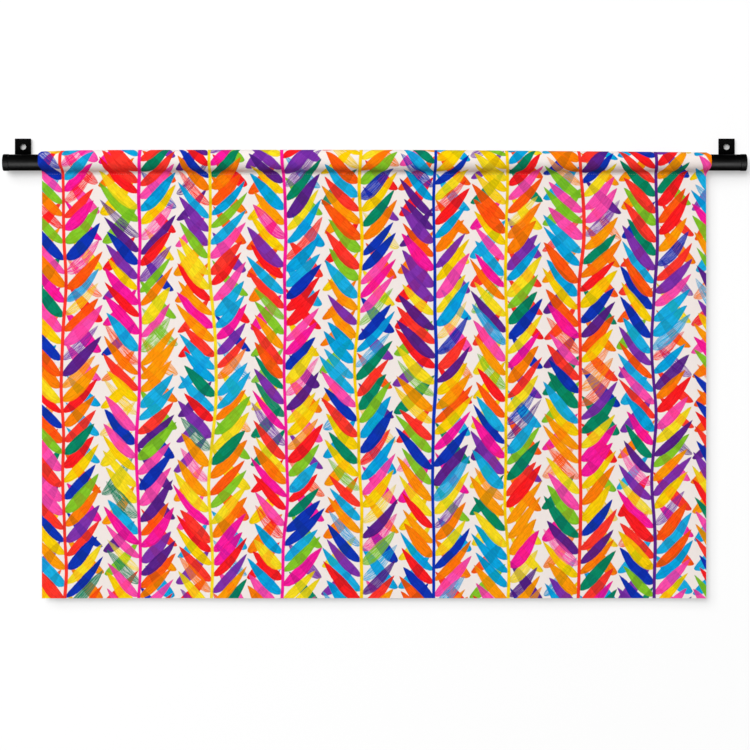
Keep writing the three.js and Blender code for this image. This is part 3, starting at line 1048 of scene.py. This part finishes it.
def plain_weave_group():
    tree, entry, leave = start_group("Plain weave", {"Flat": VECTOR}, {"Height": NUMBER, "Tone": NUMBER})
    split = tree.nodes.new("ShaderNodeSeparateXYZ")
    feed(tree, split.inputs[0], entry["Flat"])
    waves = []
    for axis in "XY":
        turn = calc(tree, "MULTIPLY", split.outputs[axis], math.pi / THREAD_PITCH)
        waves.append(calc(tree, "SINE", turn))
    over_under = calc(tree, "MULTIPLY", *waves)
    drawn_x, drawn_y = (calc(tree, "MULTIPLY", split.outputs[axis], THREAD_STRETCH) for axis in "XY")
    long_threads = noise(tree, vector_of(tree, drawn_x, split.outputs["Y"], 0.0), THREAD_SCALE)
    cross_threads = noise(tree, vector_of(tree, split.outputs["X"], drawn_y, CROSS_SLICE), THREAD_SCALE)
    uneven = calc(tree, "ADD", long_threads, cross_threads)
    feed(tree, leave["Height"], calc(tree, "MULTIPLY_ADD", uneven, UNEVEN_HEIGHT, over_under))
    # painted shade: the tone is darker where the weave lies low, in the gaps between threads
    tone = calc(tree, "MULTIPLY_ADD", over_under, WEAVE_GAP_SHADE, CLOTH_TONE)
    feed(tree, leave["Tone"], calc(tree, "MULTIPLY_ADD", uneven, UNEVEN_TONE, tone))
    return tree


plain_weave = plain_weave_group()
print("weave group has", len(plain_weave.nodes), "nodes")

# %% [markdown]
# ## Printed face and reverse
#
# Printed polyester is matte, and its ink only soaks in a little. So both faces use the same print and weave,
# and on the reverse an off-white lies over the print and lets it show faintly through. Inked cloth is a touch
# smoother than bare cloth.


# %% Materials of the cloth
def new_material(name):
    material = bpy.data.materials.new(name)
    material.use_nodes = True
    tree = material.node_tree
    return material, tree, tree.nodes["Principled BSDF"].inputs


def bump(tree, height, strength, distance):
    node = tree.nodes.new("ShaderNodeBump")
    feed(tree, node.inputs["Strength"], strength)
    feed(tree, node.inputs["Distance"], distance)
    feed(tree, node.inputs["Height"], height)
    return node.outputs["Normal"]


WEAVE_DEPTH = 0.12 * MM
WEAVE_STRENGTH = 0.35
REVERSE_GROUND = (238, 236, 232)
SHOW_THROUGH = 0.15
BARE_ROUGHNESS = 0.92
INKED_ROUGHNESS = 0.8


def cloth_material(name, face):
    """The printed face, or the reverse with the print showing faintly through."""
    material, tree, shader = new_material(name)
    flat = tree.nodes.new("ShaderNodeUVMap")
    flat.uv_map = "flat_cloth"
    drawn = use_group(tree, leaf_print, {"Flat": flat.outputs["UV"]})
    weave = use_group(tree, plain_weave, {"Flat": flat.outputs["UV"]})
    colour = drawn["Colour"]
    if face == "reverse":
        colour = blend_colours(tree, SHOW_THROUGH, linear(REVERSE_GROUND), colour)
    # the weave's tone carries its painted shade in the gaps between threads
    tone = vector_of(tree, weave["Tone"], weave["Tone"], weave["Tone"])
    feed(tree, shader["Base Color"], blend_colours(tree, 1.0, colour, tone, "MULTIPLY"))
    roughness = ramp_between(tree, drawn["Ink"], 0, 1, BARE_ROUGHNESS, INKED_ROUGHNESS, smooth=False)
    feed(tree, shader["Roughness"], roughness)
    feed(tree, shader["Normal"], bump(tree, weave["Height"], WEAVE_STRENGTH, WEAVE_DEPTH))
    shader["Specular IOR Level"].default_value = 0.06
    shader["Sheen Weight"].default_value = 0.02
    return material


cloth.data.materials.append(cloth_material("printed cloth face", "printed"))
cloth.data.materials.append(cloth_material("cloth reverse", "reverse"))
print("cloth materials:", [m.name for m in cloth.data.materials])

# %% [markdown]
# ## Paint, powder coat and plastic
#
# The black pieces differ in small ways: the rod's paint is satin with a faint orange peel, the plates wear a
# rougher powder coat and the caps are moulded with a fine grain. One grain group serves all of them with
# different sizes.

# %% Group: fine grain
CLOUD_SCALE = 35.0
GRAIN_SHARE = 0.4


def fine_grain_group():
    tree, entry, leave = start_group(
        "Fine grain",
        {"Grain Scale": NUMBER, "Smooth": NUMBER, "Rough": NUMBER},
        {"Height": NUMBER, "Roughness": NUMBER, "Tone": NUMBER},
    )
    place = tree.nodes.new("ShaderNodeTexCoord").outputs["Object"]
    grain = noise(tree, place, entry["Grain Scale"], detail=3.0, roughness=0.6)
    cloudy = noise(tree, place, CLOUD_SCALE, detail=3.0, roughness=0.55)
    feed(tree, leave["Height"], grain)
    feed(tree, leave["Tone"], ramp_between(tree, cloudy, *MIDDLE_OF_NOISE))
    mixed = calc(tree, "MULTIPLY_ADD", grain, GRAIN_SHARE, calc(tree, "MULTIPLY", cloudy, 1 - GRAIN_SHARE))
    roughness = ramp_between(tree, mixed, *MIDDLE_OF_NOISE, entry["Smooth"], entry["Rough"])
    feed(tree, leave["Roughness"], roughness)
    return tree


fine_grain = fine_grain_group()
print("grain group has", len(fine_grain.nodes), "nodes")

# %% [markdown]
# ## The black finishes and the thread
#
# All three blacks are one recipe with a row of values each: two near-black tones, the gloss, the size of the
# grain, its depth in millimetres and the range of the roughness. The stitching thread is grey twisted
# polyester, and a slanting wave gives it its twist, both as a bump and as painted shade: darker grey in the
# grooves and paler grey on the ridges.

# %% Materials of thread and black pieces
GRAIN_STRENGTH = 0.3
BLACK_FINISHES = [
    {"name": "satin rod paint", "dark": (1, 1, 1), "pale": (4, 4, 4), "specular": 0.5,
     "scale": 700.0, "depth": 0.02, "smooth": 0.4, "rough": 0.5},
    {"name": "cap plastic", "dark": (1, 1, 1), "pale": (3, 3, 3), "specular": 0.45,
     "scale": 1800.0, "depth": 0.03, "smooth": 0.42, "rough": 0.55},
    {"name": "hanger powder coat", "dark": (1, 1, 1), "pale": (2, 2, 2), "specular": 0.1,
     "scale": 1300.0, "depth": 0.05, "smooth": 0.55, "rough": 0.7},
]


def black_material(finish):
    material, tree, shader = new_material(finish["name"])
    values = {"Grain Scale": finish["scale"], "Smooth": finish["smooth"], "Rough": finish["rough"]}
    grain = use_group(tree, fine_grain, values)
    colour = blend_colours(tree, grain["Tone"], linear(finish["dark"]), linear(finish["pale"]))
    feed(tree, shader["Base Color"], colour)
    feed(tree, shader["Roughness"], grain["Roughness"])
    feed(tree, shader["Normal"], bump(tree, grain["Height"], GRAIN_STRENGTH, finish["depth"] * MM))
    shader["Specular IOR Level"].default_value = finish["specular"]
    return material


TWIST_SCALE = 900.0
TWIST_STRENGTH = 0.3
TWIST_DEPTH = 0.05 * MM
THREAD_ROUGHNESS = 0.7
THREAD_SHADED_GROOVE_GREY = (142, 134, 130)
THREAD_LIT_RIDGE_GREY = (176, 168, 163)


def thread_material():
    material, tree, shader = new_material("stitching thread")
    place = tree.nodes.new("ShaderNodeTexCoord").outputs["Object"]
    twist = tree.nodes.new("ShaderNodeTexWave")
    feed(tree, twist.inputs["Vector"], place)
    feed(tree, twist.inputs["Scale"], TWIST_SCALE)
    twist.bands_direction = "DIAGONAL"
    # painted shade along the twist: the wave that makes the bump also makes the grooves darker and the ridges
    # paler
    tone = blend_colours(tree, twist.outputs["Fac"], linear(THREAD_SHADED_GROOVE_GREY), linear(THREAD_LIT_RIDGE_GREY))
    feed(tree, shader["Base Color"], tone)
    feed(tree, shader["Normal"], bump(tree, twist.outputs["Fac"], TWIST_STRENGTH, TWIST_DEPTH))
    shader["Roughness"].default_value = THREAD_ROUGHNESS
    return material


rod_paint, cap_plastic, powder_coat = (black_material(finish) for finish in BLACK_FINISHES)
rod.data.materials.append(rod_paint)
for side in ("left", "right"):
    caps[side].data.materials.append(cap_plastic)
    hangers[side].data.materials.append(powder_coat)
stitches.data.materials.append(thread_material())
print("black finishes:", [finish["name"] for finish in BLACK_FINISHES])

# %% [markdown]
# ## Tie the pieces to the frame
#
# Every piece rides on the one rigid body and stands for its CAD node.

# %% Ride and replaced nodes
PIECES = [
    (cloth, "printed_cloth", "cloth"),
    (rod, "rod_paint", "rod"),
    (caps["left"], "cap_plastic", "cap_left"),
    (caps["right"], "cap_plastic", "cap_right"),
    (hangers["left"], "hanger_paint", "hanger_left"),
    (hangers["right"], "hanger_paint", "hanger_right"),
]
for piece, slot, node in PIECES:
    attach(piece, "root")
    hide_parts(node)
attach(stitches, "root")
print(len(PIECES) + 1, "pieces ride on the frame")

# %% [markdown]
# ## Wall and floor
#
# The hanging is shown against a white wall, where its soft shadow falls. The wall is only a backdrop: seen
# from behind it is clear, and it casts no shadow, so that the reverse of the cloth can be looked at too.
# It glows a little, which keeps its shadows pale, but not behind the plates, where hardly any light gets in.

# %% Backdrop
WALL_GAP = 4.5 * MM
WALL_GLOW = 0.377
WALL_GREY = 0.25
FLOOR_GREY = 0.9
PLATE_SHADE_EDGE = 3 * MM
FLOOR_BELOW_HEM = 0.33
STAGE_REACH = 4.0


def stage_plane(name, corners, material):
    mesh = bpy.data.meshes.new(name)
    mesh.from_pydata(corners, [], [(0, 1, 2, 3)])
    plane = new_piece(name, mesh, material)
    return plane


def open_wall(tree):
    """One on the open wall, fading to nothing behind each plate, where hardly any light gets in."""
    split = tree.nodes.new("ShaderNodeSeparateXYZ")
    feed(tree, split.inputs[0], tree.nodes.new("ShaderNodeTexCoord").outputs["Object"])
    low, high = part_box("hanger_right")
    middle, half = (low + high) / 2, (high - low) / 2
    aside = calc(tree, "SUBTRACT", calc(tree, "ABSOLUTE", split.outputs["X"]), middle.x)
    above = calc(tree, "SUBTRACT", split.outputs["Z"], middle.z)
    edges = []
    for apart, reach in ((aside, half.x), (above, half.z)):
        apart = calc(tree, "ABSOLUTE", apart)
        edges.append(ramp_between(tree, apart, reach - 2 * PLATE_SHADE_EDGE, reach - PLATE_SHADE_EDGE))
    return calc(tree, "MAXIMUM", *edges)


def wall_material():
    material, tree, shader = new_material("white wall")
    shader["Base Color"].default_value = (WALL_GREY, WALL_GREY, WALL_GREY, 1)
    glow = open_wall(tree)
    feed(tree, shader["Emission Color"], vector_of(tree, glow, glow, glow))
    shader["Emission Strength"].default_value = WALL_GLOW
    shader["Roughness"].default_value = 1.0
    shader["Specular IOR Level"].default_value = 0.0
    clear = tree.nodes.new("ShaderNodeBsdfTransparent").outputs[0]
    behind = tree.nodes.new("ShaderNodeNewGeometry").outputs["Backfacing"]
    either = tree.nodes.new("ShaderNodeMixShader")
    feed(tree, either.inputs[0], behind)
    feed(tree, either.inputs[1], tree.nodes["Principled BSDF"].outputs[0])
    feed(tree, either.inputs[2], clear)
    feed(tree, tree.nodes["Material Output"].inputs["Surface"], either.outputs[0])
    return material


def floor_material():
    material, _, shader = new_material("pale floor")
    shader["Base Color"].default_value = (FLOOR_GREY, FLOOR_GREY, FLOOR_GREY, 1)
    shader["Roughness"].default_value = 0.9
    return material


floor_z = cloth_low.z - FLOOR_BELOW_HEM
wall_y = cad_box[1].y + WALL_GAP
square = (-1, -1), (1, -1), (1, 1), (-1, 1)
wall_corners = [(STAGE_REACH * x, wall_y, STAGE_REACH if z > 0 else floor_z) for x, z in square]
floor_corners = [(STAGE_REACH * x, STAGE_REACH * y, floor_z) for x, y in square]
wall = stage_plane("wall", wall_corners, wall_material())
floor = stage_plane("floor", floor_corners, floor_material())
wall.visible_shadow = False
for backdrop in (wall, floor):
    backdrop.visible_diffuse = False
    backdrop.visible_glossy = False
print("wall at y", round(wall_y / MM, 2), "mm, floor at z", round(floor_z, 3), "m")

# %% [markdown]
# ## Lights
#
# One broad light stands high on the left; a low one in front puts the soft line on the black rod, and strips
# behind show the rod's shape from the back. Two more lights are linked to the wall alone, so that its shadows
# can be as soft as in the photo while the cloth keeps its own shading.

# %% Set the lights
# place and size in metres; soft lights shade the object, gloss lights show only as reflections on it, and
# wall lights reach only the wall, where they make the soft shadow
LIGHTS = [
    {"name": "key", "kind": "soft", "place": (-4.35, -5.98, 2.73), "size": (4.0, 4.0), "watts": 500.0},
    {"name": "fill", "kind": "soft", "place": (4.0, -5.5, -0.2), "size": (3.0, 3.0), "watts": 70.0},
    {"name": "back", "kind": "soft", "place": (2.0, 4.5, 1.2), "size": (3.0, 3.0), "watts": 95.0},
    {"name": "wall wash", "kind": "wall", "place": (-5.65, -13.0, 5.35), "size": (10.0, 10.0), "watts": 2970},
    {"name": "wall spot", "kind": "wall", "place": (-2.5, -13.0, 2.2), "size": (5.2, 5.2), "watts": 2310},
    {"name": "front strip", "kind": "gloss", "place": (0.0, -1.0, -0.65), "size": (3.0, 0.8), "watts": 19.0},
    {"name": "left strip", "kind": "gloss", "place": (-3.2, -1.5, 0.9), "size": (0.6, 1.6), "watts": 4.0},
    {"name": "right strip", "kind": "gloss", "place": (3.2, -1.5, 0.9), "size": (0.6, 1.6), "watts": 4.0},
    {"name": "back strip left", "kind": "gloss", "place": (-2.6, 2.3, 1.5), "size": (1.6, 0.8), "watts": 60},
    {"name": "back strip right", "kind": "gloss", "place": (2.6, 2.3, 1.5), "size": (1.6, 0.8), "watts": 60},
]
SKY_ABOVE = 0.5
SKY_BELOW = 0.27
SKY_TURNS = -0.5, 0.7


def lit(name, state):
    """A collection that lets a light reach only the wall, or everything but the wall."""
    collection = bpy.data.collections.new(name)
    collection.objects.link(wall)
    collection.collection_objects[0].light_linking.link_state = state
    return collection


wall_only = lit("wall only", "INCLUDE")
all_but_wall = lit("all but the wall", "EXCLUDE")
cloth_middle = rod_axis - Vector((0, 0, HEM_BELOW_ROD / 2))
for row in LIGHTS:
    target = rod_axis if row["kind"] == "gloss" else cloth_middle
    data = bpy.data.lights.new(row["name"], "AREA")
    data.shape = "RECTANGLE"
    data.size, data.size_y = row["size"]
    data.energy = row["watts"]
    light = bpy.data.objects.new(row["name"], data)
    light.location = row["place"]
    light.rotation_euler = (target - light.location).to_track_quat("-Z", "Y").to_euler()
    light.visible_camera = False
    light.visible_glossy = row["kind"] == "gloss"
    light.visible_diffuse = row["kind"] != "gloss"
    light.light_linking.receiver_collection = wall_only if row["kind"] == "wall" else all_but_wall
    bpy.context.collection.objects.link(light)

world = bpy.data.worlds.new("studio")
world.use_nodes = True
world.cycles_visibility.glossy = False
bpy.context.scene.world = world
tree = world.node_tree
path = tree.nodes.new("ShaderNodeLightPath").outputs
split = tree.nodes.new("ShaderNodeSeparateXYZ")
feed(tree, split.inputs[0], tree.nodes.new("ShaderNodeTexCoord").outputs["Generated"])
sky = ramp_between(tree, split.outputs["Z"], *SKY_TURNS, SKY_BELOW, SKY_ABOVE)
feed(tree, tree.nodes["Background"].inputs["Color"], (1, 1, 1, 1))
feed(tree, tree.nodes["Background"].inputs["Strength"], calc(tree, "MAXIMUM", sky, path["Is Camera Ray"]))
bpy.context.scene.view_settings.view_transform = "Standard"
print(len(LIGHTS), "lights and a white surround")
